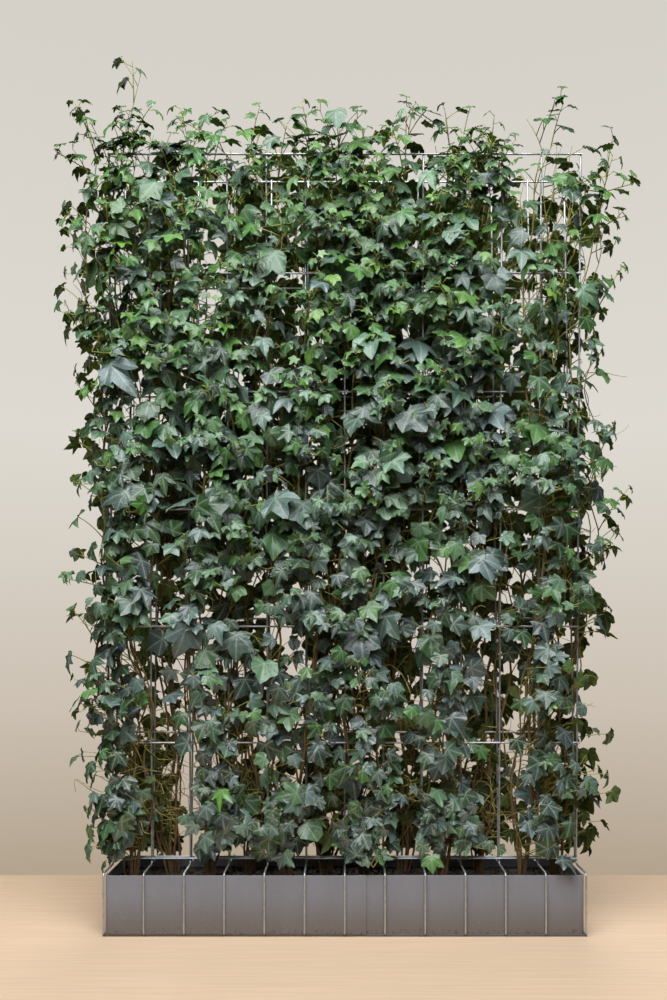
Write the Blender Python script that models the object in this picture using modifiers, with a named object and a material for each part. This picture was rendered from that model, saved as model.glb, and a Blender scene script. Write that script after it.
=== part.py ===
"""Ivy screen: twelve ivy plants in a long sheet trough, climbing two bent mats of welded wire.

Metres, +Z up. X runs along the trough, the front faces -Y, and the origin is on the ground under the
trough's middle. Each mat is one piece of bent mesh: its wires pass the trough, turn in over the rim to
the middle and rise as a panel. The two panels lean apart like a V. Odd-numbered plants climb the front
panel and even-numbered plants the back one.
"""

import math
import random

import bmesh
import bpy
from mathutils import Vector, noise

# Welded wire mats
WIRE_COUNT = 13
WIRE_PITCH = 0.100
WIRE_SIZE = 0.005
CROSS_PITCH = 0.300
PANEL_TOP_FRONT = 1.975
PANEL_TOP_BACK = 1.995
LEAN_FRONT = 0.043
LEAN_BACK = 0.113
PANEL_FOOT = 0.006
RIM_TURN_HEIGHT = 0.160
HEEL_BEND = 0.003
RIM_BEND = 0.007
FOOT_BEND = 0.010

# Sheet trough
TROUGH_END_GAP = 0.003
TROUGH_LENGTH = (WIRE_COUNT - 1) * WIRE_PITCH - 2 * TROUGH_END_GAP
TROUGH_DEPTH = 0.200
TROUGH_RIM = 0.152
SHEET = 0.002
SEAM_OFFSET = 0.054
SEAM_LAP = 0.020
CORNER_RADIUS = 0.008
CORNER_RETURN = 0.016
CLEARANCE = 0.0003

# Soil and planting
SOIL_HEIGHT = 0.130
PLANT_DEPTH = 0.035
VINE_OFFSET = 0.018
VINE_RADIUS = 0.007
VINE_TIP_SHARE = 0.40
VINE_WANDER = 0.028
VINE_POINTS = 16
VINE_STRAIGHT_SHARE = 0.10
VINE_LOOSEN_SHARE = 0.20

# Leaf masses
FOLIAGE_INNER = 0.032
FOLIAGE_BOTTOM = 0.185
FOLIAGE_RISE = 0.055
FOLIAGE_THICK = 0.085
FOLIAGE_OVERHANG = 0.100
FOLIAGE_RIM_SHARE = 0.45
FOLIAGE_LUMPS = 0.5
FOLIAGE_RAGGED = 0.035
FOLIAGE_UNEVEN = 0.02
FOLIAGE_COLUMNS = 3
FOLIAGE_ROWS = 9

TIP_RISES = (0.178, 0.065, 0.118, 0.045, 0.098, 0.055, 0.068, 0.135, 0.088, 0.045, 0.098, 0.110)


def clear_scene():
    for item in list(bpy.data.objects):
        bpy.data.objects.remove(item, do_unlink=True)


def make_material(name, colour, roughness, metallic=0.0):
    material = bpy.data.materials.new(name)
    material.use_nodes = True
    shader = material.node_tree.nodes["Principled BSDF"]
    shader.inputs["Base Color"].default_value = (*colour, 1.0)
    shader.inputs["Roughness"].default_value = roughness
    shader.inputs["Metallic"].default_value = metallic
    return material


def add_object(name, data, collection, material):
    data.materials.append(material)
    item = bpy.data.objects.new(name, data)
    collection.objects.link(item)
    return item


def mesh_from(name, shape):
    mesh = bpy.data.meshes.new(name)
    shape.to_mesh(mesh)
    shape.free()
    return mesh


# Panels

def panel_rise(side):
    """Foot and top of a panel's centre line, as (y, z). Side is -1 for the front and +1 for the back."""
    lean, top = (LEAN_FRONT, PANEL_TOP_FRONT) if side < 0 else (LEAN_BACK, PANEL_TOP_BACK)
    foot = Vector((side * PANEL_FOOT, RIM_TURN_HEIGHT))
    return foot, Vector((side * (PANEL_FOOT + lean), top))


def panel_y(side, z):
    foot, top = panel_rise(side)
    share = max(0.0, (z - foot.y) / (top.y - foot.y))
    return foot.x + (top.x - foot.x) * share


def mat_stations(corners, bends, crosses):
    """Rows of a mat along its bent path, as (point, cross wire starts here).

    Corners are (y, z) points, and bends[i] rounds the corner that ends leg i. crosses[i] lists distances
    along leg i to its cross wires.
    """
    half = WIRE_SIZE / 2
    rows = [(corners[0], False)]
    for leg, (start, end) in enumerate(zip(corners, corners[1:])):
        along = (end - start).normalized()
        for distance in crosses[leg]:
            rows.append((start + along * (distance - half), True))
            rows.append((start + along * (distance + half), False))
        if leg + 2 < len(corners):
            onward = (corners[leg + 2] - end).normalized()
            before, after = end - along * bends[leg], end + onward * bends[leg]
            rows.append((before, False))
            rows.append(((before + after) / 4 + end / 2, False))
            rows.append((after, False))
    rows.append((corners[-1], False))
    kept = [rows[0]]
    for point, is_cross in rows[1:]:
        if (point - kept[-1][0]).length < 1e-6:
            kept[-1] = (point, is_cross or kept[-1][1])
        else:
            kept.append((point, is_cross))
    return kept


def make_mat(name, corners, bends, crosses, collection, material):
    """A bent welded mat: a grid with its cells cut away, given the wire's thickness."""
    stations = mat_stations(corners, bends, crosses)
    columns = []
    for index in range(WIRE_COUNT):
        x = (index - (WIRE_COUNT - 1) / 2) * WIRE_PITCH
        columns += [x - WIRE_SIZE / 2, x + WIRE_SIZE / 2]
    shape = bmesh.new()
    bmesh.ops.create_grid(shape, x_segments=len(columns) - 1, y_segments=len(stations) - 1, size=1.0)
    across, along = len(columns) - 1, len(stations) - 1
    place = {}
    for vert in shape.verts:
        column = round((vert.co.x + 1) / 2 * across)
        row = round((vert.co.y + 1) / 2 * along)
        place[vert.index] = (column, row)
        point = stations[row][0]
        vert.co = (columns[column], point.x, point.y)
    open_cells = []
    for face in shape.faces:
        column = min(place[vert.index][0] for vert in face.verts)
        row = min(place[vert.index][1] for vert in face.verts)
        if column % 2 == 1 and not stations[row][1]:
            open_cells.append(face)
    bmesh.ops.delete(shape, geom=open_cells, context="FACES")
    mat = add_object(name, mesh_from(name, shape), collection, material)
    solid = mat.modifiers.new("Wire thickness", "SOLIDIFY")
    solid.thickness = WIRE_SIZE
    solid.offset = 0.0
    solid.use_even_offset = True
    return mat


def make_mats(collection, material):
    half = WIRE_SIZE / 2
    face = TROUGH_DEPTH / 2 + CLEARANCE + half
    for name, side in (("front_mat", -1), ("back_mat", 1)):
        foot, top = panel_rise(side)
        rise = (top - foot).length
        spaces = int((rise - CROSS_PITCH / 2) / CROSS_PITCH)
        cross_wires = [rise - half - CROSS_PITCH * index for index in range(spaces, -1, -1)]
        cross_wires.insert(0, FOOT_BEND + half)
        turn = Vector((side * face, RIM_TURN_HEIGHT))
        if side < 0:
            tail = Vector((face - WIRE_SIZE - CLEARANCE * 2, half))
            heel = Vector((-face, half))
            legs = [tail, heel, turn, foot, top]
            under = (heel - tail).length
            bends = [HEEL_BEND, RIM_BEND, FOOT_BEND]
            crosses = [[half, under - HEEL_BEND - half], [], [], cross_wires]
        else:
            legs = [Vector((face, 0.0)), turn, foot, top]
            bends = [RIM_BEND, FOOT_BEND]
            crosses = [[half], [], cross_wires]
        make_mat(name, legs, bends, crosses, collection, material)


# Trough

def extruded_sheet(name, outline, bottom, top, collection, material, offset):
    """An upright sheet: the outline's (x, y) points drawn up from bottom to top, then thickened."""
    shape = bmesh.new()
    verts = [shape.verts.new((x, y, bottom)) for x, y in outline]
    edges = [shape.edges.new(pair) for pair in zip(verts, verts[1:])]
    drawn = bmesh.ops.extrude_edge_only(shape, edges=edges)
    lifted = [item for item in drawn["geom"] if isinstance(item, bmesh.types.BMVert)]
    bmesh.ops.translate(shape, verts=lifted, vec=(0, 0, top - bottom))
    bmesh.ops.recalc_face_normals(shape, faces=shape.faces)
    sheet = add_object(name, mesh_from(name, shape), collection, material)
    solid = sheet.modifiers.new("Sheet thickness", "SOLIDIFY")
    solid.thickness = SHEET
    solid.offset = offset
    solid.use_even_offset = True
    return sheet


def round_cornered_block(half_length, half_depth, bottom, top):
    """A block whose upright edges are rounded to pass inside the trough's corners."""
    shape = bmesh.new()
    bmesh.ops.create_cube(shape, size=1.0)
    bmesh.ops.scale(shape, verts=shape.verts, vec=(2 * half_length, 2 * half_depth, top - bottom))
    bmesh.ops.translate(shape, verts=shape.verts, vec=(0, 0, (top + bottom) / 2))
    upright = [edge for edge in shape.edges if abs(edge.verts[0].co.z - edge.verts[1].co.z) > (top - bottom) / 2]
    bmesh.ops.bevel(shape, geom=upright, offset=CORNER_RADIUS, segments=2, profile=0.5, affect="EDGES")
    return shape


def long_wall_outline(seam, corner, face):
    """Middle line of a long wall from its seam round the end corner, as if it were the front wall."""
    half = SHEET / 2
    way = math.copysign(1, corner)
    centre = Vector((corner - way * (CORNER_RADIUS + half), face + half + CORNER_RADIUS))
    points = [(seam, face + half)]
    for step in range(5):
        angle = math.radians(90 * step / 4)
        points.append((centre.x + way * CORNER_RADIUS * math.sin(angle), centre.y - CORNER_RADIUS * math.cos(angle)))
    points.append((points[-1][0], points[-1][1] + CORNER_RETURN))
    return points


def make_trough(collection, material):
    bottom = WIRE_SIZE + CLEARANCE
    end, face = TROUGH_LENGTH / 2, -TROUGH_DEPTH / 2
    inner_face = face + SHEET + CLEARANCE
    walls = (
        ("left", long_wall_outline(SEAM_OFFSET, -end, face)),
        ("right", long_wall_outline(SEAM_OFFSET - SEAM_LAP, end, inner_face)),
    )
    for label, outline in walls:
        turned = [(-x, -y) for x, y in outline]
        other = "right" if label == "left" else "left"
        extruded_sheet(f"front_sheet_{label}", outline, bottom, TROUGH_RIM, collection, material, 0.0)
        extruded_sheet(f"back_sheet_{other}", turned, bottom, TROUGH_RIM, collection, material, 0.0)

    inside = TROUGH_DEPTH / 2 - 2 * (SHEET + CLEARANCE)
    end_face = end - SHEET - CLEARANCE
    base = round_cornered_block(end_face, inside, bottom, bottom + SHEET)
    add_object("base_sheet", mesh_from("base_sheet", base), collection, material)
    reach = inside - CORNER_RADIUS
    for label, way in (("left", -1), ("right", 1)):
        x = way * (end_face - SHEET / 2)
        outline = [(x, -reach), (x, reach)]
        floor = bottom + SHEET + CLEARANCE
        extruded_sheet(f"{label}_end_sheet", outline, floor, TROUGH_RIM, collection, material, 0.0)


# Plants

def plant_places():
    """Each plant's number, side and x: one to a mesh cell, alternately front and back."""
    cells = WIRE_COUNT - 1
    for index in range(cells):
        x = (index + 0.5 - cells / 2) * WIRE_PITCH
        yield index + 1, (-1 if index % 2 == 0 else 1), x


def vine_route(number, side, x):
    """Points up a vine: planted in its cell, then wandering over the outer face of its panel."""
    chance = random.Random(number)
    phase = chance.uniform(0, math.tau)
    turns = chance.uniform(1.2, 2.2)
    bottom = SOIL_HEIGHT - PLANT_DEPTH
    top = panel_rise(side)[1].y + TIP_RISES[(number - 1) % len(TIP_RISES)]
    points = []
    for step in range(VINE_POINTS):
        share = step / (VINE_POINTS - 1)
        z = bottom + (top - bottom) * share
        free = min(1.0, max(0.0, (share - VINE_STRAIGHT_SHARE) / VINE_LOOSEN_SHARE))
        sway = VINE_WANDER * free * (math.sin(phase + turns * math.tau * share) - math.sin(phase))
        points.append(Vector((x + sway, panel_y(side, z) + side * VINE_OFFSET, z)))
    return points


def make_vine(number, side, x, collection, material):
    name = f"vine_{number:02d}"
    curve = bpy.data.curves.new(name, "CURVE")
    curve.dimensions = "3D"
    curve.bevel_depth = VINE_RADIUS
    curve.bevel_resolution = 2
    curve.use_fill_caps = True
    points = vine_route(number, side, x)
    spline = curve.splines.new("POLY")
    spline.points.add(len(points) - 1)
    for index, (slot, point) in enumerate(zip(spline.points, points)):
        slot.co = (*point, 1.0)
        slot.radius = 1 - (1 - VINE_TIP_SHARE) * index / (len(points) - 1)
    return add_object(name, curve, collection, material)


def foliage_span(x):
    """Left and right edges of the leaf mass of a plant at x, whose neighbours on its panel are two cells away."""
    panel_edge = (WIRE_COUNT - 1) / 2 * WIRE_PITCH
    left, right = x - WIRE_PITCH + CLEARANCE, x + WIRE_PITCH - CLEARANCE
    if x - 2 * WIRE_PITCH < -panel_edge:
        left = -panel_edge - FOLIAGE_OVERHANG
    if x + 2 * WIRE_PITCH > panel_edge:
        right = panel_edge + FOLIAGE_OVERHANG
    return left, right


def make_foliage(number, side, x, collection, material):
    """A crowned slab of leaves on the outer face of a panel, flat towards the panel."""
    name = f"foliage_{number:02d}"
    left, right = foliage_span(x)
    top = panel_rise(side)[1].y + FOLIAGE_RISE + FOLIAGE_UNEVEN * math.sin(number * 2.4)
    shape = bmesh.new()
    bmesh.ops.create_grid(shape, x_segments=FOLIAGE_COLUMNS, y_segments=FOLIAGE_ROWS, size=1.0)
    for vert in shape.verts:
        across, up = (vert.co.x + 1) / 2, (vert.co.y + 1) / 2
        z = FOLIAGE_BOTTOM + (top - FOLIAGE_BOTTOM) * up
        is_end = (across == 0 and left < x - WIRE_PITCH) or (across == 1 and right > x + WIRE_PITCH)
        ragged = FOLIAGE_RAGGED * noise.noise(Vector((number * 3.1, z * 2.3, 0.0))) if is_end else 0.0
        vert.co = (left + (right - left) * across + ragged, panel_y(side, z) + side * FOLIAGE_INNER, z)
    grown = bmesh.ops.extrude_face_region(shape, geom=shape.faces[:])
    for vert in (item for item in grown["geom"] if isinstance(item, bmesh.types.BMVert)):
        up = (vert.co.z - FOLIAGE_BOTTOM) / (top - FOLIAGE_BOTTOM)
        crown = FOLIAGE_RIM_SHARE + (1 - FOLIAGE_RIM_SHARE) * min(1.0, 5 * up, 8 * (1 - up))
        lumpy = 1 + FOLIAGE_LUMPS * noise.noise(Vector((vert.co.x * 5, side * 2.0, vert.co.z * 4)))
        vert.co.y += side * FOLIAGE_THICK * crown * lumpy
    bmesh.ops.recalc_face_normals(shape, faces=shape.faces)
    return add_object(name, mesh_from(name, shape), collection, material)


def make_soil(collection, cutters, material):
    """The soil block, with a hole where each vine goes in."""
    inside = TROUGH_DEPTH / 2 - 2 * (SHEET + CLEARANCE) - CLEARANCE
    reach = TROUGH_LENGTH / 2 - 2 * (SHEET + CLEARANCE) - CLEARANCE
    floor = WIRE_SIZE + SHEET + 2 * CLEARANCE
    block = round_cornered_block(reach, inside, floor, SOIL_HEIGHT)
    soil = add_object("potting_soil", mesh_from("potting_soil", block), collection, material)
    for number, side, x in plant_places():
        start, after = vine_route(number, side, x)[:2]
        hole = bmesh.new()
        radius = VINE_RADIUS + 2 * CLEARANCE
        bmesh.ops.create_cone(hole, cap_ends=True, segments=8, radius1=radius, radius2=radius, depth=2 * PLANT_DEPTH)
        lean = (after - start).to_track_quat("Z", "Y")
        for vert in hole.verts:
            vert.co = lean @ Vector((vert.co.x, vert.co.y, vert.co.z + PLANT_DEPTH - CLEARANCE)) + start
        cutter = add_object(f"planting_hole_{number:02d}", mesh_from("planting_hole", hole), cutters, material)
        cutter.hide_render = True
        cutter.display_type = "WIRE"
        cut = soil.modifiers.new("Planting hole", "BOOLEAN")
        cut.object = cutter
    return soil


def main():
    clear_scene()
    model = bpy.data.collections.new("ivy_screen")
    cutters = bpy.data.collections.new("cutters")
    for collection in (model, cutters):
        bpy.context.scene.collection.children.link(collection)

    galvanised = make_material("galvanised_wire", (0.45, 0.46, 0.47), 0.42, 0.9)
    sheet = make_material("grey_sheet", (0.17, 0.165, 0.16), 0.5)
    soil = make_material("potting_soil", (0.045, 0.028, 0.018), 0.95)
    bark = make_material("ivy_bark", (0.22, 0.13, 0.07), 0.8)
    leaf = make_material("ivy_leaf", (0.06, 0.16, 0.06), 0.45)

    make_mats(model, galvanised)
    make_trough(model, sheet)
    make_soil(model, cutters, soil)
    for number, side, x in plant_places():
        make_vine(number, side, x, model, bark)
        make_foliage(number, side, x, model, leaf)


main()
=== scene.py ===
"""Looks of a free-standing ivy screen: ivy on two leaning wire panels over a long grey trough.

Everything is in metres, +Z up, the front facing -Y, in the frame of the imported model. Each piece takes its
place from the model's own nodes, and the growth is drawn from seeded numbers, so it is the same each run.
"""

import math

import bmesh
import bpy
import numpy as np
from bpy.props import FloatProperty, FloatVectorProperty, IntProperty, PointerProperty
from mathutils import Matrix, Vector, noise


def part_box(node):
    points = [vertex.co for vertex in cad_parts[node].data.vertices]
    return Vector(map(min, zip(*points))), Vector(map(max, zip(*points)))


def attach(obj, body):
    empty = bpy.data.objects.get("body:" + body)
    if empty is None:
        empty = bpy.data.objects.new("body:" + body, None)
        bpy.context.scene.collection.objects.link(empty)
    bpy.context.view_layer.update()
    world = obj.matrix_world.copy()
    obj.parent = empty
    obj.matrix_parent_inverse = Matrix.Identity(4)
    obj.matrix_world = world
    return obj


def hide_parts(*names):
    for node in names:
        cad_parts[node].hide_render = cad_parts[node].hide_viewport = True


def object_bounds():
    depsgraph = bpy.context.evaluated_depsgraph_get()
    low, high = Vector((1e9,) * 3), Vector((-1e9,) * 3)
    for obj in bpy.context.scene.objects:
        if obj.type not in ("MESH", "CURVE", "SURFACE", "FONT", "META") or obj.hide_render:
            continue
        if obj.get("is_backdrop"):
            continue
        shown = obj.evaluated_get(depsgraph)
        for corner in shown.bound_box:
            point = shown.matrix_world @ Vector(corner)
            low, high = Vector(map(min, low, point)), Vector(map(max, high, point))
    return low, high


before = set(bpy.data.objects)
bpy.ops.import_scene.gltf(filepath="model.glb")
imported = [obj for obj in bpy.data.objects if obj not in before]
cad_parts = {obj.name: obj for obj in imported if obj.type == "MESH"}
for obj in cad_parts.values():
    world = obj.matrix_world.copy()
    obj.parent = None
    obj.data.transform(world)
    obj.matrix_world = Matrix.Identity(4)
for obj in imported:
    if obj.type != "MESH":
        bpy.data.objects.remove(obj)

bl_info = {
    "name": "Potted ivy screen",
    "version": (1, 0, 0),
    "blender": (4, 5, 0),
    "location": "3D Viewport > Sidebar > Ivy Screen",
    "description": "Builds an ivy hedge on welded wire panels, with its trough, soil, stems and leaves",
    "category": "Object",
}

FRONT, BACK = -1, 1
MATS = {FRONT: "front_mat", BACK: "back_mat"}
LONG_SHEETS = {"front_sheet_left": FRONT, "front_sheet_right": FRONT,
               "back_sheet_left": BACK, "back_sheet_right": BACK}
SMALL_SHEETS = ("base_sheet", "left_end_sheet", "right_end_sheet")
PLANTS = sorted(int(name[5:]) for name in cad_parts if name.startswith("vine_"))
UP = np.array((0.0, 0.0, 1.0))


# Settings

def linear(code):
    """An sRGB hex colour such as "7fa84a" as linear numbers."""
    values = [int(code[place:place + 2], 16) / 255 for place in (0, 2, 4)]
    return tuple(v / 12.92 if v <= 0.04045 else ((v + 0.055) / 1.055) ** 2.4 for v in values) + (1.0,)


def colour_property(name, description, code):
    """A colour that a user can change."""
    return FloatVectorProperty(name=name, description=description, default=linear(code)[:3], size=3,
                               subtype="COLOR", min=0.0, max=1.0)


def length_property(name, description, default, least=0.0):
    """A length that a user can change."""
    return FloatProperty(name=name, description=description, default=default, min=least, unit="LENGTH")


def number_property(name, description, default, **limits):
    """A plain number that a user can change."""
    return FloatProperty(name=name, description=description, default=default, **limits)


def range_property(name, description, default):
    """A least and a greatest length that a user can change."""
    return FloatVectorProperty(name=name, description=description, default=default, size=2, unit="LENGTH")


# Shader nodes

def add_node(tree, kind, inputs=None, **settings):
    """Adds a shader node with its settings, and sets or links its inputs."""
    node = tree.nodes.new(kind)
    for name, value in settings.items():
        setattr(node, name, value)
    for name, value in (inputs or {}).items():
        socket = node.inputs[name]
        if isinstance(value, bpy.types.NodeSocket):
            tree.links.new(value, socket)
        else:
            socket.default_value = value
    return node


def shade(colour, factor=1.0):
    """A colour made lighter or darker, as a shader input."""
    return tuple(channel * factor for channel in tuple(colour)[:3]) + (1.0,)


def mix(tree, share, first, second):
    """The first colour, with a share of the second."""
    return add_node(tree, "ShaderNodeMix", {0: share, 6: first, 7: second}, data_type="RGBA").outputs[2]


def remap(tree, value, source, target, **settings):
    """A value moved from one range to another, and held within it."""
    ends = dict(zip(("From Min", "From Max", "To Min", "To Max"), (*source, *target)))
    return add_node(tree, "ShaderNodeMapRange", {"Value": value, **ends}, **settings).outputs[0]


def maths(tree, operation, *values):
    """A sum, product or other result of values."""
    return add_node(tree, "ShaderNodeMath", dict(enumerate(values)), operation=operation).outputs[0]


def blotches(tree, place, scale, detail, roughness=0.5):
    """Soft noise about 1 / scale metres across."""
    return add_node(tree, "ShaderNodeTexNoise", {
        "Vector": place, "Scale": scale, "Detail": detail, "Roughness": roughness}).outputs["Fac"]


def squeezed(tree, place, factors):
    """A place scaled along each axis, so that a pattern is drawn out along the least scaled one."""
    return add_node(tree, "ShaderNodeMapping", {"Vector": place, "Scale": factors}).outputs[0]


def upper_part(tree, place):
    """The Z of a place."""
    return add_node(tree, "ShaderNodeSeparateXYZ", {0: place}).outputs["Z"]


def stored(tree, name):
    """A number stored with a mesh's points."""
    return add_node(tree, "ShaderNodeAttribute", attribute_name=name).outputs["Fac"]


def bump(tree, height, strength, distance, **inputs):
    """A relief of a height in metres."""
    return add_node(tree, "ShaderNodeBump", {
        "Height": height, "Strength": strength, "Distance": distance, **inputs}).outputs[0]


def colour_stops(tree, share, stops):
    """Colours that follow one another along a share, from places and shader colours."""
    node = add_node(tree, "ShaderNodeValToRGB", {"Fac": share})
    elements = node.color_ramp.elements
    while len(elements) < len(stops):
        elements.new(0.5)
    for element, (place, colour) in zip(elements, stops):
        element.position = place
        element.color = colour
    return node.outputs["Color"]


def new_material(name):
    """An empty node material, its tree and the object's own coordinates."""
    material = bpy.data.materials.new(name)
    material.use_nodes = True
    tree = material.node_tree
    tree.nodes.clear()
    return material, tree, add_node(tree, "ShaderNodeTexCoord").outputs["Object"]


def finish_material(material, inputs):
    """Gives a material one plain surface with the inputs."""
    tree = material.node_tree
    shader = add_node(tree, "ShaderNodeBsdfPrincipled", inputs)
    add_node(tree, "ShaderNodeOutputMaterial", {"Surface": shader.outputs[0]})
    return material


# Materials

WHOLE = (0.0, 1.0)


def galvanised_wire(zinc):
    """Drawn steel wire, hot-dip galvanised: dull pale zinc, softly mottled, with a broad highlight, and
    painted dark brown and matt where it lies on the ground under the trough, as painted shade."""
    material, tree, place = new_material("hot_dip_galvanised_wire")
    # zinc blooms about 12 mm across
    bloom = blotches(tree, place, 80.0, 4.0)
    clean = mix(tree, bloom, shade(zinc, 0.65), shade(zinc, 1.35))
    # painted shade: wire on the ground under the trough is painted dark brown and made matt
    painted_ground_shade = remap(tree, upper_part(tree, place), (0.004, 0.011), (0.9, 0.0))
    return finish_material(material, {
        "Base Color": mix(tree, painted_ground_shade, clean, linear("33291f")),
        "Metallic": remap(tree, painted_ground_shade, WHOLE, (0.8, 0.0)),
        "Roughness": remap(tree, bloom, WHOLE, (0.34, 0.56))})


def coated_sheet(coating, earth, rim_height, foot_height):
    """Polyester-coated steel sheet: smooth satin grey, scuffed, splashed with earth low down, and darker and
    browner towards the foot, partly a film of earth and partly painted shade.
    """
    material, tree, place = new_material("coil_coated_steel_sheet")
    height = upper_part(tree, place)
    # water marks about 60 mm wide, drawn out downwards
    streaks = blotches(tree, squeezed(tree, place, (17.0, 17.0, 3.0)), 1.0, 5.0, 0.6)
    grey = mix(tree, streaks, shade(coating, 0.8), shade(coating, 1.2))
    # darker and browner towards the foot: partly a film of earth, partly painted shade low on the sheet
    foot_earth_and_shade = remap(tree, height, (foot_height, rim_height * 0.8), (0.62, 0.0),
                 interpolation_type="SMOOTHSTEP")
    earthed_and_shaded = mix(tree, foot_earth_and_shade, grey, shade(earth))
    # earth splashed up from the foot, in clots about 9 mm across: coarser than life, to show at this distance
    splash = blotches(tree, place, 110.0, 4.0, 0.7)
    low_down = remap(tree, height, (rim_height * 0.55, foot_height), WHOLE)
    clots = remap(tree, maths(tree, "MULTIPLY", splash, low_down), (0.47, 0.60), (0.0, 0.8))
    earthy = mix(tree, clots, earthed_and_shaded, shade(earth, 0.45))
    # pale lime specks, 2 mm across, thinly scattered
    lime = remap(tree, blotches(tree, place, 470.0, 1.0), (0.70, 0.76), (0.0, 0.5))
    return finish_material(material, {
        "Base Color": mix(tree, lime, earthy, linear("b9b4aa")),
        "Roughness": remap(tree, streaks, WHOLE, (0.32, 0.52)),
        "Normal": bump(tree, streaks, 0.12, 0.002)})


def potting_compost(soil):
    """Bark and peat compost, damp: near-black brown crumbs, fully matt, with paler bark."""
    material, tree, place = new_material("peat_and_bark_compost")
    # crumbs 4 mm across, in patches of 30 mm
    crumbs = add_node(tree, "ShaderNodeTexVoronoi", {"Vector": place, "Scale": 250.0})
    patches = blotches(tree, place, 33.0, 6.0)
    crumbly = mix(tree, crumbs.outputs["Color"], shade(soil, 0.35), shade(soil, 1.85))
    return finish_material(material, {
        "Base Color": mix(tree, patches, crumbly, shade(soil, 0.6)),
        "Roughness": 0.95,
        "Normal": bump(tree, crumbs.outputs["Distance"], 0.6, 0.002)})


def ivy_bark(young_skin, old_bark):
    """Ivy stem: brown to olive bark with pale flecks, ridged along the stem, matt."""
    material, tree, place = new_material("ivy_stem_bark")
    # fibres 1.2 mm wide, eight times as long
    fibres = blotches(tree, squeezed(tree, place, (8.0, 8.0, 1.0)), 100.0, 4.0)
    young = mix(tree, fibres, shade(young_skin, 0.7), shade(young_skin, 1.35))
    old = mix(tree, fibres, shade(old_bark, 0.4), shade(old_bark, 1.7))
    return finish_material(material, {
        "Base Color": mix(tree, stored(tree, "age"), young, old),
        "Roughness": 0.7,
        "Normal": bump(tree, fibres, 0.5, 0.0008)})


def leaf_skin(name, palette, bloom, vein, roughness, through):
    """Ivy leaf skin: palette runs from young to old, some old leaves are painted grey-blue, partly a wax
    bloom and partly painted sheen of the cool light, veins stay pale, and young skin lets light through."""
    material, tree, place = new_material(name)
    age, tone = stored(tree, "age"), stored(tree, "tone")
    green = colour_stops(tree, age, [(step / 2, shade(colour)) for step, colour in enumerate(palette)])
    # about every other leaf, once it is grown, is painted grey-blue: partly a wax bloom, partly painted sheen
    chance = remap(tree, maths(tree, "PINGPONG", tone, 0.11), (0.020, 0.075), (0.0, 0.95))
    bloom_and_sheen = mix(tree, maths(tree, "MULTIPLY", chance, age), green, shade(bloom))
    # darker cells between the fine veins, about 16 mm across
    mottle = blotches(tree, place, 62.0, 3.0)
    light = maths(tree, "MULTIPLY_ADD", mottle, 0.55, tone)
    skin = add_node(tree, "ShaderNodeHueSaturation", {
        "Hue": remap(tree, tone, WHOLE, (0.515, 0.485)),
        "Value": remap(tree, light, (0.15, 1.4), (0.26, 1.72)),
        "Color": bloom_and_sheen}).outputs[0]
    # distances along the vein in u and from it in v, in decimetres
    veins_at = add_node(tree, "ShaderNodeUVMap", uv_map="veins").outputs["UV"]
    split = add_node(tree, "ShaderNodeSeparateXYZ", {0: veins_at})
    across = maths(tree, "ABSOLUTE", split.outputs["Y"])
    # a main vein 1.8 mm wide: wider than life, to show at this distance
    main_vein = remap(tree, across, (0.001, 0.010), (1.0, 0.0))
    # side veins every 8 mm, leaning towards the tip
    lean = maths(tree, "MULTIPLY_ADD", across, -0.8, split.outputs["X"])
    side_vein = remap(tree, maths(tree, "PINGPONG", lean, 0.04), (0.001, 0.007), (0.36, 0.0))
    # the skin pales for 5 mm beside a main vein
    halo = remap(tree, across, (0.0, 0.05), (0.32, 0.0))
    veins = maths(tree, "MAXIMUM", main_vein, maths(tree, "MAXIMUM", halo, side_vein))
    strength = remap(tree, age, WHOLE, (0.30, 0.70))
    colour = mix(tree, maths(tree, "MULTIPLY", veins, strength), skin, shade(vein))
    ripple = bump(tree, mottle, 0.55, 0.004)
    relief = add_node(tree, "ShaderNodeBump", {
        "Height": veins, "Strength": 0.35, "Distance": 0.0006, "Normal": ripple}, invert=True)
    gloss = add_node(tree, "ShaderNodeBsdfPrincipled", {
        "Base Color": colour, "Roughness": roughness, "IOR": 1.5, "Normal": relief.outputs[0]})
    glow_colour = add_node(tree, "ShaderNodeHueSaturation", {
        "Hue": 0.48, "Saturation": 1.2, "Value": 1.75, "Color": colour})
    glow = add_node(tree, "ShaderNodeBsdfTranslucent", {"Color": glow_colour.outputs[0]})
    shader = add_node(tree, "ShaderNodeMixShader", {
        0: remap(tree, age, WHOLE, through), 1: gloss.outputs[0], 2: glow.outputs[0]})
    add_node(tree, "ShaderNodeOutputMaterial", {"Surface": shader.outputs[0]})
    return material


def pale_table(birch):
    """Sanded birch top, oiled: pale, warm and matt, with a faint drawn-out grain."""
    material, tree, place = new_material("sanded_birch_top")
    # grain 8 mm wide and 300 mm long
    grain = blotches(tree, squeezed(tree, place, (3.3, 120.0, 120.0)), 1.0, 4.0)
    return finish_material(material, {
        "Base Color": mix(tree, grain, shade(birch, 0.84), shade(birch, 1.17)),
        "Roughness": 0.6})


# Mesh helpers

def unit(vectors):
    """Vectors scaled to length 1 along their last axis."""
    return vectors / np.maximum(np.linalg.norm(vectors, axis=-1, keepdims=True), 1e-9)


def progress(values, start, length):
    """0 up to a start, 1 past it by a length, and even in between. A negative length runs downwards."""
    return np.clip((values - start) / length, 0, 1)


def soften(values, limit, give):
    """Values past a limit, brought back to a share of what they were past it."""
    return np.where(values > limit, limit + (values - limit) * give, values)


def read_points(node):
    """A node's vertices as an array."""
    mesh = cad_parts[node].data
    points = np.empty(len(mesh.vertices) * 3, np.float32)
    mesh.vertices.foreach_get("co", points)
    return points.reshape(-1, 3).astype(float)


def add_object(name, data):
    """An object in the scene."""
    item = bpy.data.objects.new(name, data)
    bpy.context.scene.collection.objects.link(item)
    return item


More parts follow.
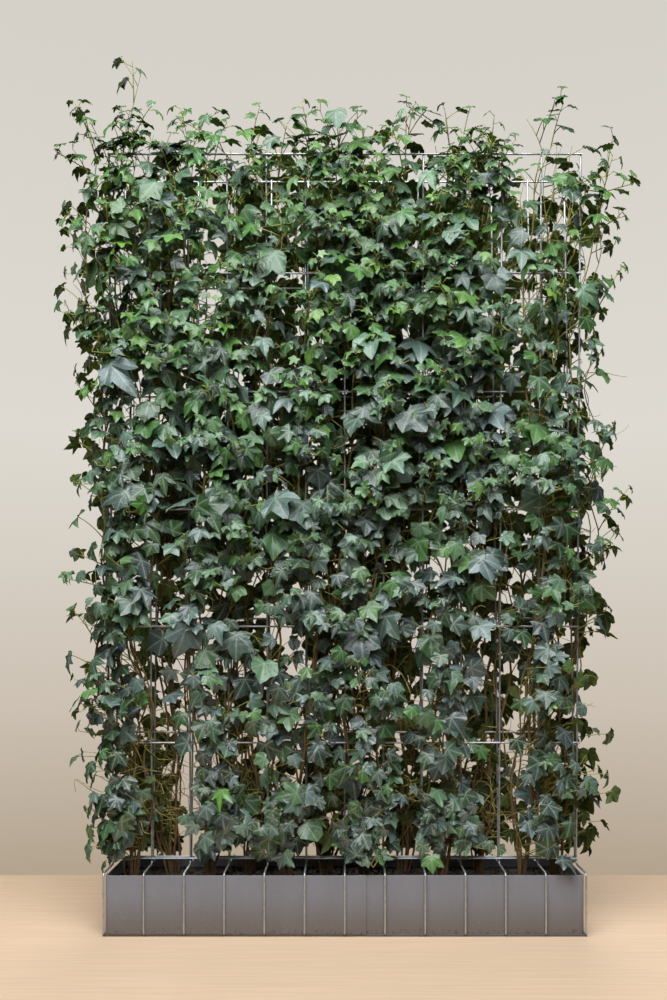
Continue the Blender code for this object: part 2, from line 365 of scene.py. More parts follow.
def build_mesh(name, points, face_sets, materials, slots=None):
    """A mesh object from points and face arrays, each array holding faces with as many corners."""
    mesh = bpy.data.meshes.new(name)
    sizes = np.concatenate([np.full(len(faces), faces.shape[1]) for faces in face_sets])
    corners = np.concatenate([faces.ravel() for faces in face_sets])
    mesh.vertices.add(len(points))
    mesh.vertices.foreach_set("co", points.astype(np.float32).ravel())
    mesh.loops.add(len(corners))
    mesh.loops.foreach_set("vertex_index", corners.astype(np.int32))
    mesh.polygons.add(len(sizes))
    starts = np.concatenate([[0], np.cumsum(sizes)[:-1]])
    mesh.polygons.foreach_set("loop_start", starts.astype(np.int32))
    if slots is not None:
        mesh.polygons.foreach_set("material_index", slots.astype(np.int32))
    mesh.update(calc_edges=True)
    mesh.polygons.foreach_set("use_smooth", np.ones(len(sizes), bool))
    for material in materials:
        mesh.materials.append(material)
    return add_object(name, mesh)


def set_attribute(piece, name, values):
    """Stores one number for each of a mesh's points."""
    layer = piece.data.attributes.new(name, "FLOAT", "POINT")
    layer.data.foreach_set("value", values.astype(np.float32))


def tubes(paths, radii, sides):
    """Points and faces of closed round tubes, from paths (tube, point, xyz) and radii (tube, point)."""
    count, length = radii.shape
    ahead = unit(np.gradient(paths, axis=1))
    across = np.cross(ahead[:, 0], np.array((0.31, 0.94, 0.11)))
    turns = np.linspace(0, 2 * np.pi, sides, endpoint=False)
    rings = []
    for step in range(length):
        along = ahead[:, step]
        across = unit(across - along * np.sum(across * along, axis=1, keepdims=True))
        other = np.cross(along, across)
        spokes = (np.cos(turns)[None, :, None] * across[:, None]
                  + np.sin(turns)[None, :, None] * other[:, None])
        rings.append(paths[:, step, None] + radii[:, step, None, None] * spokes)
    points = np.stack(rings, axis=1).reshape(-1, 3)
    index = np.arange(count * length * sides).reshape(count, length, sides)
    beside = np.roll(index, -1, axis=2)
    walls = np.stack([index[:, :-1], beside[:, :-1], beside[:, 1:], index[:, 1:]], axis=-1).reshape(-1, 4)
    caps = np.concatenate([index[:, 0, ::-1], index[:, -1]])
    return points, walls, caps


def join_tubes(groups):
    """Several tubes() results as one set of points, and faces grouped by their number of corners."""
    points, by_size, start = [], {}, 0
    for group_points, walls, caps in groups:
        for faces in (walls, caps):
            by_size.setdefault(faces.shape[1], []).append(faces + start)
        points.append(group_points)
        start += len(group_points)
    return np.concatenate(points), [np.concatenate(sets) for sets in by_size.values()]


def finish_piece(piece, node):
    """Fixes a piece to the frame and hides the node that it stands for."""
    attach(piece, "root")
    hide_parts(node)


# Wire mats

def mat_measures(side):
    """A mat's wire size, basket corners, panel line and cross wires, measured on its node."""
    points = read_points(MATS[side])
    low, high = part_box(MATS[side])
    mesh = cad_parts[MATS[side]].data
    columns = np.unique(np.round(points[:, 0], 4))
    wire = columns[1] - columns[0]
    long_wires = (columns[0::2] + columns[1::2]) / 2
    # the cross wires are the only faces between two neighbouring long wires
    spans = [face for face in mesh.polygons if long_wires[5] + wire < face.center.x < long_wires[6] - wire]
    seen = sorted({tuple(np.round(points[index, 1:], 5)) for face in spans for index in face.vertices})
    crosses = []
    while seen:
        near = [place for place in seen if math.dist(place, seen[0]) < 2 * wire]
        crosses.append(np.mean(near, axis=0))
        seen = [place for place in seen if place not in near]
    basket = points[points[:, 2] < high.z / 4]
    leg_y = side * (np.max(side * basket[:, 1]) - wire / 2)
    turn_z = np.max(basket[side * basket[:, 1] > side * leg_y - wire / 2, 2]) - wire / 2
    top = np.mean(points[points[:, 2] > high.z - wire / 4], axis=0)[1:]
    on_panel = sorted((place for place in crosses if place[1] > turn_z + wire), key=lambda place: place[1])
    low_point = on_panel[0]
    slope = (top[0] - low_point[0]) / (top[1] - low_point[1])
    foot = (low_point[0] + slope * (turn_z - low_point[1]), turn_z)
    return {"wire": wire, "long_wires": long_wires, "crosses": crosses, "leg_y": leg_y, "turn_z": turn_z,
            "top": top, "foot": foot, "slope": slope, "low": low, "high": high}


MEASURES = {side: mat_measures(side) for side in MATS}
WIRE_SIDES = 10


def panel_y(side, height):
    """The panel's y at a height."""
    measures = MEASURES[side]
    return measures["foot"][0] + measures["slope"] * (height - measures["foot"][1])


def round_corners(corners, radius, steps=5):
    """A path of straight legs with each corner turned at a radius."""
    path = [corners[0]]
    for before, corner, after in zip(corners, corners[1:], corners[2:]):
        into, out = unit(before - corner), unit(after - corner)
        for share in np.arange(steps + 1) / steps:
            path.append(corner + into * radius * (1 - share) ** 2 + out * radius * share ** 2)
    path.append(corners[-1])
    return np.array(path)


class IvyMatSettings(bpy.types.PropertyGroup):
    """Sizes and colour of the wire mats that the model leaves open."""
    bend: length_property("Bend", "Distance from a wire's corner to where its bend begins", 0.012, 0.003)
    weld: length_property("Weld depth", "How far a cross wire is pressed into the long wires", 0.0012)
    zinc: colour_property("Zinc", "Colour of the galvanised wire", "b8bbbc")


class IVY_OT_wire_mats(bpy.types.Operator):
    """Draws the two welded mats in round wire"""
    bl_idname = "ivy.wire_mats"
    bl_label = "Wire mats"

    def execute(self, context):
        settings = context.scene.ivy_mats
        material = galvanised_wire(settings.zinc)
        for side, node in MATS.items():
            self.draw_mat(node, side, MEASURES[side], settings, material)
        return {"FINISHED"}

    def draw_mat(self, node, side, measures, settings, material):
        """One mat: its long wires, bent under or over the trough, with its cross wires outside them."""
        wire, low, high = measures["wire"], measures["low"], measures["high"]
        leg_y, turn_z = measures["leg_y"], measures["turn_z"]
        ground = low.z + wire / 2
        legs = [(leg_y, turn_z), measures["foot"], measures["top"]]
        if side == FRONT:
            legs = [(high.y, ground), (leg_y, ground)] + legs
        else:
            legs = [(leg_y, low.z)] + legs
        path = round_corners(np.array([(0.0, y, z) for y, z in legs]), settings.bend)
        places = np.array([(x, 0.0, 0.0) for x in measures["long_wires"]])
        long_routes = places[:, None] + path[None]
        outside = side * (wire - settings.weld)
        cross_routes = []
        for y, z in measures["crosses"]:
            under_trough = z <= turn_z + wire and abs(z - ground) <= wire
            shift = 0.0 if under_trough else outside
            cross_routes.append([(x, y + shift, z) for x in np.linspace(low.x, high.x, 9)])
        groups = []
        for routes in (long_routes, np.array(cross_routes)):
            groups.append(tubes(routes, np.full(routes.shape[:2], wire / 2), WIRE_SIDES))
        points, faces = join_tubes(groups)
        piece = build_mesh(node.replace("_mat", "_wire_mat"), points, faces, [material])
        piece.data.set_sharp_from_angle(angle=math.radians(50))
        finish_piece(piece, node)


# Trough

class IvyTroughSettings(bpy.types.PropertyGroup):
    """Sizes and colours of the trough's sheets, which the model leaves plain."""
    bulge: length_property("Bulge", "How far the soil presses the sheet out between two wires", 0.0016)
    edge: length_property("Edge radius", "Rounding of the sheared edges", 0.0004, 0.0001)
    slice_width: length_property("Slice", "Width of the slices that let a sheet bulge", 0.0125, 0.005)
    coating: colour_property("Coating", "Colour of the sheet's grey coating", "7d7f86")
    # the earth colour also paints the shade towards the sheet's foot
    earth: colour_property("Earth", "Colour of the dried earth low on the sheet", "5f5140")


class IVY_OT_trough(bpy.types.Operator):
    """Makes the trough's sheets with rounded edges, pressed out a little between the wires"""
    bl_idname = "ivy.trough"
    bl_label = "Trough"

    def execute(self, context):
        settings = context.scene.ivy_trough
        lows, highs = zip(*(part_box(name) for name in LONG_SHEETS))
        material = coated_sheet(settings.coating, settings.earth, max(high.z for high in highs),
                                min(low.z for low in lows))
        for node in (*LONG_SHEETS, *SMALL_SHEETS):
            self.draw_sheet(node, LONG_SHEETS.get(node), settings, material)
        return {"FINISHED"}

    def draw_sheet(self, node, side, settings, material):
        """One sheet. A long one has a side, and is cut into slices so that it can bulge between the wires."""
        shape = bmesh.new()
        shape.from_mesh(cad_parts[node].data)
        bmesh.ops.remove_doubles(shape, verts=shape.verts[:], dist=0.00002)
        bmesh.ops.dissolve_limit(shape, verts=shape.verts[:], edges=shape.edges[:],
                                 angle_limit=math.radians(0.5))
        if side:
            low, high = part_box(node)
            slices = int((high.x - low.x) / settings.slice_width)
            cuts = [((low.x + (high.x - low.x) * cut / slices, 0, 0), (1, 0, 0)) for cut in range(1, slices)]
            cuts += [((0, 0, low.z + (high.z - low.z) * level), (0, 0, 1)) for level in (0.3, 0.6, 0.85)]
            for place, normal in cuts:
                geometry = shape.verts[:] + shape.edges[:] + shape.faces[:]
                bmesh.ops.bisect_plane(shape, geom=geometry, dist=1e-6, plane_co=place, plane_no=normal)
            self.press_out(shape, side, low, high, settings.bulge)
        mesh = bpy.data.meshes.new(f"{node}_metal")
        shape.to_mesh(mesh)
        shape.free()
        mesh.materials.append(material)
        mesh.shade_smooth()
        mesh.set_sharp_from_angle(angle=math.radians(35))
        piece = add_object(mesh.name, mesh)
        edge = piece.modifiers.new("Sheared edge", "BEVEL")
        edge.width = settings.edge
        edge.segments = 2
        edge.limit_method = "ANGLE"
        edge.angle_limit = math.radians(40)
        finish_piece(piece, node)

    def press_out(self, shape, side, low, high, bulge):
        """Moves the long wall out, most halfway between two wires and halfway up."""
        wires = MEASURES[side]["long_wires"]
        pitch = wires[1] - wires[0]
        for vert in shape.verts:
            up = (vert.co.z - low.z) / (high.z - low.z)
            if 0 < up < 1:
                between = math.sin(math.pi * (vert.co.x - wires[0]) / pitch) ** 2
                vert.co.y += side * bulge * between * math.sin(math.pi * up) ** 0.7


# Soil

class IvySoilSettings(bpy.types.PropertyGroup):
    """Sizes and colour of the soil's surface."""
    heap: length_property("Heap", "Height of the lumps on the soil's surface", 0.009)
    chips: IntProperty(name="Chips", description="Number of bark chips and crumbs", default=1500, min=0)
    soil: colour_property("Soil", "Colour of the damp compost", "372b20")


class IVY_OT_soil(bpy.types.Operator):
    """Fills the trough with lumpy soil, with crumbs and bark chips on it"""
    bl_idname = "ivy.soil"
    bl_label = "Soil"

    def execute(self, context):
        settings = context.scene.ivy_soil
        low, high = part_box("potting_soil")
        columns, rows = 300, 48
        inset = 0.0004
        x = np.linspace(low.x, high.x, columns)
        y = np.linspace(low.y, high.y, rows)
        top = np.array([[self.lump(a, b, high.z, settings.heap) for b in y] for a in x])
        surface = np.stack([*np.meshgrid(x, y, indexing="ij"), top], axis=-1)
        surface[0, :, 0] += inset
        surface[-1, :, 0] -= inset
        floor = surface.copy()
        floor[:, :, 2] = low.z + inset
        count = columns * rows
        index = np.arange(count).reshape(columns, rows)
        upper = np.stack([index[:-1, :-1], index[1:, :-1], index[1:, 1:], index[:-1, 1:]], -1).reshape(-1, 4)
        lower = upper[:, ::-1] + count
        border = np.concatenate([index[:, 0], index[-1, 1:], index[-2::-1, -1], index[0, -2:0:-1]])
        after = np.roll(border, -1)
        walls = np.stack([border, border + count, after + count, after], -1)
        chip_points, chip_faces = self.chips(settings.chips, low, high, settings.heap)
        points = np.concatenate([surface.reshape(-1, 3), floor.reshape(-1, 3), chip_points])
        faces = [np.concatenate([upper, lower, walls]), chip_faces + 2 * count]
        piece = build_mesh("potting_soil_bed", points, faces, [potting_compost(settings.soil)])
        piece.data.set_sharp_from_angle(angle=math.radians(45))
        finish_piece(piece, "potting_soil")
        return {"FINISHED"}

    def lump(self, x, y, level, heap):
        """The soil's height at a place: lumps about 70 mm across with crumbs about 15 mm across."""
        broad = noise.noise(Vector((x * 14, y * 14, 0)))
        fine = noise.noise(Vector((x * 70, y * 70, 3)))
        return level - heap * 0.6 + heap * (0.6 * broad + 0.3 * fine)

    def chips(self, count, low, high, heap):
        """Bark chips and crumbs: small eight-sided flakes, each turned its own way."""
        draw = np.random.default_rng(40)
        corners = np.array([(1, 0, 0), (-1, 0, 0), (0, 1, 0), (0, -1, 0), (0, 0, 1), (0, 0, -1)], float)
        faces = np.array([(0, 2, 4), (2, 1, 4), (1, 3, 4), (3, 0, 4),
                          (2, 0, 5), (1, 2, 5), (3, 1, 5), (0, 3, 5)])
        sizes = draw.uniform(0.0025, 0.0075, (count, 1))
        sizes = sizes * draw.uniform((0.6, 0.4, 0.25), (1.3, 1.0, 0.6), (count, 3))
        axes = unit(draw.normal(size=(count, 3, 3)))
        first = axes[:, 0]
        second = unit(np.cross(first, axes[:, 1]))
        turn = np.stack([first, second, np.cross(first, second)], axis=1)
        edge = 0.008
        places = draw.uniform((low.x + edge, low.y + edge, 0), (high.x - edge, high.y - edge, 0), (count, 3))
        places[:, 2] = [self.lump(x, y, high.z, heap) + 0.001 for x, y, _ in places]
        points = np.einsum("nij,njk->nik", corners[None] * sizes[:, None], turn) + places[:, None]
        all_faces = faces[None] + len(corners) * np.arange(count)[:, None, None]
        return points.reshape(-1, 3), all_faces.reshape(-1, 3)


# Growth: where the stems, shoots, stalks and leaves of each plant go

class IvyGrowthSettings(bpy.types.PropertyGroup):
    """How the plants grow."""
    seed: IntProperty(name="Seed", description="Starts the draw of all growth", default=310, min=0)
    stems: IntProperty(name="Stems", description="Stems that climb from each plant's root", default=7, min=2)
    node_gap: range_property("Node gap", "Distance between two leaves on a stem", (0.023, 0.040))
    stalk: range_property("Leaf stalk", "Length of a stem leaf's stalk", (0.030, 0.085))
    leaf: range_property("Leaf width", "Width of a stem leaf", (0.040, 0.072))
    shoot: range_property("Shoot", "Length of a side shoot", (0.06, 0.17))
    shoot_gap: length_property("Shoot leaf gap", "Distance between two leaves on a shoot", 0.021, 0.005)
    twigs: IntProperty(name="Bare twigs", description="Leafless twigs on each plant", default=120, min=1)
    young_skin: colour_property("Young stem", "Colour of leaf stalks and young shoots", "a3a552")
    old_bark: colour_property("Old stem", "Colour of the bark of old stems", "624a2d")


WIDTH_LIMIT = max(abs(corner.x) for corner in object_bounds())
HEIGHT_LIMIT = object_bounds()[1].z
PROUD = 0.048                           # how far a leaf may stand past the model's box
LEAF_REACH = 0.125                      # how far out from its panel a leaf may stand, and so on
SHOOT_REACH = 0.115
TWIG_REACH = 0.11
BEHIND = -0.075                         # how far behind its panel growth may go
END_ROOM = 0.06                         # how far inside the width limit stems start to be held back
LEAVES_SOIL = 0.16                      # height where the stems turn from the soil to the panel
STEM_TOPS = (-0.06, 0.065)              # where stems end, from the panel's top edge
STRAY_CHANCE, STRAY = 0.16, (0.08, 0.17)
MAIN_STEM_RADIUS = 0.0045
STEM_RADII = (0.0020, 0.0036)
SHOOT_RADII = (0.0016, 0.0007)          # from start to end, as are the next two
STALK_RADII = (0.0013, 0.0009)
TWIG_RADII = (0.0013, 0.0006)
TWIG_LENGTHS = (0.04, 0.13)
STEM_POINTS, SHOOT_POINTS, STALK_POINTS = 60, 8, 5
RIM_LEAVES = 5                          # leaves on each stem's first 0.2 m, besides the even ones
LARGE_SHARE, LARGE_LEAF = 0.13, (0.076, 0.108)
SHOOT_LEAF, TIP_LOSS = 0.057, 0.029     # a shoot's first leaf, and how much narrower its last one is
OPEN_PATCHES = (12, 3.1, 15)            # thin patches about 80 mm wide, 65 mm high, the same on both panels


def vine_line(number):
    """Heights, x and y of the middle of a plant's main stem."""
    points = read_points(f"vine_{number:02d}")
    bin_size = 0.02
    bins = np.round(points[:, 2] / bin_size).astype(int)
    rows = np.array([points[bins == level].mean(axis=0) for level in np.unique(bins)])
    return rows[:, 2], rows[:, 0], rows[:, 1]


def plant_side(number):
    """Which panel a plant climbs."""
    low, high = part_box(f"foliage_{number:02d}")
    return FRONT if low.y + high.y < 0 else BACK


def edge_reach(number):
    """-1 or 1 where a plant grows past the screen's left or right end, or 0."""
    low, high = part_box(f"foliage_{number:02d}")
    ends = MEASURES[plant_side(number)]["long_wires"]
    return -1 if low.x < ends[0] - 0.05 else 1 if high.x > ends[-1] + 0.05 else 0


def fan(draw, side, count, spread):
    """Level directions that fan about straight out from a panel."""
    angles = np.clip(draw.normal(0, spread, count), -2.6, 2.6)
    return np.stack([np.sin(angles), side * np.cos(angles), np.zeros(count)], axis=1)


def waves(draw, z, count, heights, turns):
    """A sum of waves along a height."""
    return sum(draw.uniform(*heights) * np.sin(z * draw.uniform(*turns) + draw.uniform(0, 6.3))
               for _ in range(count))


def grow_stems(draw, number, side, growth):
    """Paths and radii of the stems, bundled low down and spread out further up."""
    heights, line_x, line_y = vine_line(number)
    top_edge = MEASURES[side]["top"][1]
    low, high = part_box(f"foliage_{number:02d}")
    reach = edge_reach(number)
    left_inset = 0.040 if reach < 0 else 0.02
    right_inset = 0.095 if reach > 0 else 0.02
    lower_top = 0.035 if reach > 0 else 0.0
    aims = np.linspace(low.x + left_inset, high.x - right_inset, growth.stems)
    level = np.linspace(0, 1, STEM_POINTS)
    paths, radii = [], []
    for stem in range(growth.stems):
        top, spread, drift = heights[-1], 0.0, 0.0
        if stem:
            top = top_edge + draw.uniform(*STEM_TOPS) - lower_top
            spread = aims[stem] - line_x[-1] + draw.normal(0, 0.015)
            drift = draw.normal(0, 0.03)
        if draw.random() < STRAY_CHANCE and stem:
            drift += draw.choice((-1, 1)) * draw.uniform(*STRAY)
        z = heights[0] + (top - heights[0]) * level
        open_up = 0.7 * progress(z, 0.18, 0.45) + 0.3 * progress(z, 0.7, 0.8)
        bundle = draw.uniform(-0.017, 0.017)
        sway = waves(draw, z, 4, (0.004, 0.011), (5, 30))
        loose = 0.8 + 1.8 * progress(z, 0.12, 0.2)
        x = np.interp(z, heights, line_x) + bundle * loose + spread * open_up + drift * level ** 1.5
        x += sway * (1.0 if stem else 0.25) * np.clip(level * 12, 0, 1)
        weave = draw.uniform(-0.004, 0.022) + waves(draw, z, 2, (0.003, 0.009), (6, 20))
        on_panel = panel_y(side, np.maximum(z, LEAVES_SOIL)) + side * weave
        in_soil = np.interp(z, heights, line_y) + bundle * 0.6
        blend = progress(z, LEAVES_SOIL, 0.15)
        y = in_soil * (1 - blend) + on_panel * blend
        past = np.clip(z - top_edge, 0, None)
        x += past * draw.normal(0, 0.35)
        y += past * draw.normal(0, 0.25)
        x = np.sign(x) * soften(np.abs(x), WIDTH_LIMIT - END_ROOM, 0.35)
        paths.append(np.stack([x, y, z], axis=1))
        base = draw.uniform(*STEM_RADII) if stem else MAIN_STEM_RADIUS
        thin = 1 - 0.6 * progress(z, top_edge - 0.15, 0.3)
        radii.append((base * (1 - 0.70 * level) + 0.0002) * thin)
    return np.array(paths), np.array(radii)


def stalks(starts, directions, lengths, rise, points):
    """Paths that leave their starts, lift and then level out."""
    steps = np.linspace(0, 1, points)[None, :, None]
    lengths = lengths[:, None, None]
    level = directions[:, None] * np.cos(rise)[:, None, None] * steps
    lift = UP * np.sin(rise)[:, None, None] * (1.5 * steps - 0.5 * steps ** 2)
    return starts[:, None] + lengths * (level + lift)


def along_paths(paths, shares):
    """Points at shares (path, count) along paths (path, point, xyz)."""
    place = shares * (paths.shape[1] - 1)
    first = np.clip(np.floor(place).astype(int), 0, paths.shape[1] - 2)
    rest = (place - first)[..., None]
    rows = np.arange(len(paths))[:, None]
    return paths[rows, first] * (1 - rest) + paths[rows, first + 1] * rest


def hold_in(points, side, reach_out):
    """Keeps points near their panel and within the model's own width."""
    away = side * (points[:, 1] - panel_y(side, points[:, 2]))
    held = np.clip(soften(away, reach_out * 0.75, 0.4), BEHIND, reach_out)
    points[:, 1] += side * (held - away)
    points[:, 0] = np.clip(points[:, 0], -WIDTH_LIMIT, WIDTH_LIMIT)
    return points


def crowding(x, z, side):
    """Share of the leaves that stays: thinner at the right end, low down, past the top, and in patches that
    lie one behind the other on the two panels."""
    right = progress(x, 0.28, 0.25) * progress(z, 0.6, 0.7)
    low = progress(z, 1.15, -0.5) * progress(z, 0.27, 0.06)
    past_top = progress(z, MEASURES[side]["top"][1] - 0.02, 0.06)
    across, layer, upward = OPEN_PATCHES
    patch = np.array([noise.noise(Vector((a * across, layer, b * upward))) for a, b in zip(x, z)])
    share = 1.0 - 0.28 * right - 0.34 * low - 0.05 * past_top - 0.45 * progress(patch, 0.04, 0.25)
    return share - (0.12 * right if side == BACK else 0.0)


def leaf_places(draw, stems, side, growth):
    """Where the leaves and shoots leave the stems."""
    rim = MEASURES[side]["turn_z"]
    starts = []
    for stem in stems:
        root, length = stem[0, 2], stem[-1, 2] - stem[0, 2]
        gaps = draw.uniform(*growth.node_gap, 90).cumsum()
        shares = (rim + 0.02 - root + gaps) / length
        near_rim = (draw.uniform(rim + 0.01, rim + 0.20, RIM_LEAVES) - root) / length
        shares = np.concatenate([shares[shares < 0.997], near_rim])
        starts.append(along_paths(stem[None], shares[None])[0])
    starts = np.concatenate(starts)
    return starts[draw.random(len(starts)) < crowding(starts[:, 0], starts[:, 2], side)]


def bare_twigs(draw, stems, side, growth):
    """Thin twigs and old leaf stalks without a leaf, most of them low down."""
    count = growth.twigs
    owners = draw.integers(0, len(stems), count)
    shares = 0.08 + 0.85 * draw.random(count) ** 1.6
    starts = along_paths(stems[owners], shares[:, None])[:, 0]
    lengths = draw.uniform(*TWIG_LENGTHS, count)
    twigs = stalks(starts, fan(draw, side, count, 1.3), lengths, draw.uniform(-0.4, 1.3, count), SHOOT_POINTS)
    steps = np.linspace(0, 1, SHOOT_POINTS)[None, :, None]
    bow = draw.normal(0, 0.18, (count, 1, 3)) * lengths[:, None, None]
    twigs += bow * np.sin(np.pi * steps) + 0.6 * bow[:, :, ::-1] * np.sin(2 * np.pi * steps)
    twigs = hold_in(twigs.reshape(-1, 3), side, TWIG_REACH).reshape(twigs.shape)
    twigs[..., 2] = np.maximum(twigs[..., 2], MEASURES[side]["turn_z"] + 0.004)
    return twigs, np.linspace(*TWIG_RADII, SHOOT_POINTS)[None] * draw.uniform(0.7, 1.2, (count, 1))


def grow_shoots(draw, starts, heading, side, growth):
    """Side shoots as paths, with their radii and lengths: shorter past the top, and lifted near it."""
    top_edge = MEASURES[side]["top"][1]
    lengths = draw.uniform(*growth.shoot, len(starts))
    lengths *= 1 - 0.5 * progress(starts[:, 2], top_edge, 0.15)
    lean = draw.uniform(-0.35, 1.0, len(starts)) + 0.35 * progress(starts[:, 2], top_edge - 0.15, 0.15)
    shoots = stalks(starts, heading, lengths, lean, SHOOT_POINTS)
    shoots = hold_in(shoots.reshape(-1, 3), side, SHOOT_REACH).reshape(shoots.shape)
    radii = np.linspace(*SHOOT_RADII, SHOOT_POINTS)[None] * np.ones((len(starts), 1))
    return shoots, radii, lengths


def stem_leaves(draw, starts, heading, height, side, reach, growth):
    """Stalks, widths and ages of the leaves straight on the stems, some of them large at mid height."""
    count = len(starts)
    width = draw.uniform(*growth.leaf, count) * (0.87 + 0.15 * progress(height, 0, 0.4))
    large = draw.random(count) < LARGE_SHARE * np.exp(-((height - 0.55) / 0.22) ** 2)
    width = np.where(large, draw.uniform(*LARGE_LEAF, count), width)
    width *= 1 - 0.55 * progress(starts[:, 2], MEASURES[side]["top"][1], 0.12)
    lengths = draw.uniform(*growth.stalk, count)
    if reach:
        lengths *= 1 + 0.6 * progress(starts[:, 2], 0.7, -0.2)
    paths = stalks(starts, heading, lengths, draw.uniform(0.0, 1.0, count), STALK_POINTS)
    age = np.clip(1.02 - 0.50 * height ** 1.6 + draw.normal(0, 0.20, count), 0.05, 1)
    return paths, width, age


def shoot_leaves(draw, shoots, lengths, height, growth):
    """Stalks, widths and ages of the leaves along the shoots, smaller and younger towards the tip."""
    counts = [max(3, int(length / growth.shoot_gap)) for length in lengths]
    shares = np.concatenate([(np.arange(leaves) + 1.0) / leaves for leaves in counts])
    owners = np.repeat(np.arange(len(shoots)), counts)
    height = height[owners]
    count = len(owners)
    starts = along_paths(shoots[owners], shares[:, None])[:, 0]
    forward = unit(shoots[owners, -1] - shoots[owners, 0])
    beside = unit(np.cross(forward, UP)) * np.where(np.arange(count) % 2, 1, -1)[:, None]
    sprout = unit(beside + forward * draw.uniform(0.2, 1.1, (count, 1)) + draw.normal(0, 0.35, (count, 3)))
    sprout[:, 2] = 0
    width = (SHOOT_LEAF - TIP_LOSS * shares) * draw.uniform(0.75, 1.3, count) * (1.12 - 0.20 * height)
    paths = stalks(starts, unit(sprout), width * draw.uniform(0.4, 0.8, count),
                   draw.uniform(0.1, 1.1, count), STALK_POINTS)
    age = 1.0 - 0.42 * height - 0.38 * shares * (0.35 + 0.65 * height)
    return paths, width, np.clip(age + draw.normal(0, 0.14, count), 0, 1)


def grow_plant(number, growth):
    """One plant's stems, shoots and stalks as tube paths, and its leaves as places and directions."""
    draw = np.random.default_rng(growth.seed + number)
    side, reach = plant_side(number), edge_reach(number)
    rim, top_edge = MEASURES[side]["turn_z"], MEASURES[side]["top"][1]
    stems, stem_radii = grow_stems(draw, number, side, growth)
    starts = leaf_places(draw, stems, side, growth)
    z = starts[:, 2]
    height = np.clip((z - rim) / (top_edge - rim), 0, 1.15)
    heading = fan(draw, side, len(starts), 1.0)
    heading[:, 0] += reach * (0.12 + 0.5 * progress(z, 1.0, 0.5) + 0.9 * progress(z, 0.9, -0.3))
    heading = unit(heading)
    is_shoot = draw.random(len(starts)) < 0.07 + 0.42 * height
    on_stem = ~is_shoot
    shoots, shoot_radii, lengths = grow_shoots(draw, starts[is_shoot], heading[is_shoot], side, growth)
    leaves = zip(stem_leaves(draw, starts[on_stem], heading[on_stem], height[on_stem], side, reach, growth),
                 shoot_leaves(draw, shoots, lengths, height[is_shoot], growth))
    paths, width, age = (np.concatenate(pair) for pair in leaves)

    # leaves stay near the panel, above the rim and near the model's box
    bases = paths[:, -1]
    held = hold_in(bases.copy(), side, LEAF_REACH)
    paths += (held - bases)[:, None] * np.linspace(0, 1, STALK_POINTS)[None, :, None]
    paths[:, -1, 2] = np.maximum(paths[:, -1, 2], rim + 0.006 + 0.36 * width)
    bases = paths[:, -1]
    size = 0.75 * width
    keep = np.abs(bases[:, 0]) + size < WIDTH_LIMIT + PROUD
    keep &= bases[:, 2] + size < HEIGHT_LIMIT + PROUD
    paths, width, age, bases = paths[keep], width[keep], age[keep], bases[keep]

    # leaves face out and up, at the ends sideways, and past the top mostly up
    total = len(width)
    to_end = 0.9 * reach * progress(np.abs(bases[:, 0]), 0.52, 0.12)
    outward = np.stack([to_end, side * (1 - 0.6 * np.abs(to_end)), np.zeros(total)], axis=1)
    stalk_way = unit((bases - paths[:, 0]) * np.array((1.0, 1.0, 0.0)))
    rise = progress(bases[:, 2:], 0.5, 1.3)
    above = progress(bases[:, 2:], top_edge - 0.10, 0.10)
    lift = draw.uniform(0.05, 0.85, (total, 1)) + 0.30 * rise + 0.8 * above
    facing = unit(0.40 * stalk_way + 0.75 * outward + lift * UP
                  + draw.normal(0, 0.40, (total, 3)) * (1, 0.6, 0.8))
    tip = 0.75 * stalk_way - (0.9 - 0.35 * rise) * UP + draw.normal(0, 0.55, (total, 3))
    tip = unit(tip - facing * np.sum(tip * facing, axis=1, keepdims=True))
    stalk_radii = np.linspace(*STALK_RADII, STALK_POINTS)[None] * np.clip(width / 0.05, 0.7, 1.5)[:, None]
    return {
        "stems": (stems, stem_radii),
        "shoots": (shoots, shoot_radii),
        "stalks": (paths, stalk_radii),
        "twigs": bare_twigs(np.random.default_rng(growth.seed + 1000 + number), stems, side, growth),
        "base": bases, "tip": tip, "facing": facing, "width": width, "age": age,
        # leaves past the top edge get a lower tone, which paints them darker: painted shade of leaves seen
        # from below
        "tone": draw.random(total) * (1 - 0.5 * above[:, 0]), "draw": draw,
    }


_grown = {}


def grown(number):
    """A plant's growth, worked out once."""
    if number not in _grown:
        _grown[number] = grow_plant(number, bpy.context.scene.ivy_growth)
    return _grown[number]


# For each kind of tube: its number of sides, and its age at the start and the end
TUBE_KINDS = {"stems": (8, 1.0, 0.6), "shoots": (5, 0.45, 0.1), "stalks": (4, 0.2, 0.05),
              "twigs": (4, 0.85, 0.3)}


class IVY_OT_stems(bpy.types.Operator):
    """Draws each plant's stems, side shoots and leaf stalks"""
    bl_idname = "ivy.stems"
    bl_label = "Stems"

    def execute(self, context):
        growth = context.scene.ivy_growth
        bark = ivy_bark(growth.young_skin, growth.old_bark)
        for number in PLANTS:
            groups, ages = [], []
            for kind, (sides, first_age, last_age) in TUBE_KINDS.items():
                paths, radii = grown(number)[kind]
                groups.append(tubes(paths, radii, sides))
                along = np.linspace(first_age, last_age, paths.shape[1])
                ages.append(np.broadcast_to(along[None, :, None], (*radii.shape, sides)).ravel())
            points, faces = join_tubes(groups)
            piece = build_mesh(f"vine_stems_{number:02d}", points, faces, [bark])
            set_attribute(piece, "age", np.concatenate(ages))
            finish_piece(piece, f"vine_{number:02d}")
        return {"FINISHED"}


# Leaves

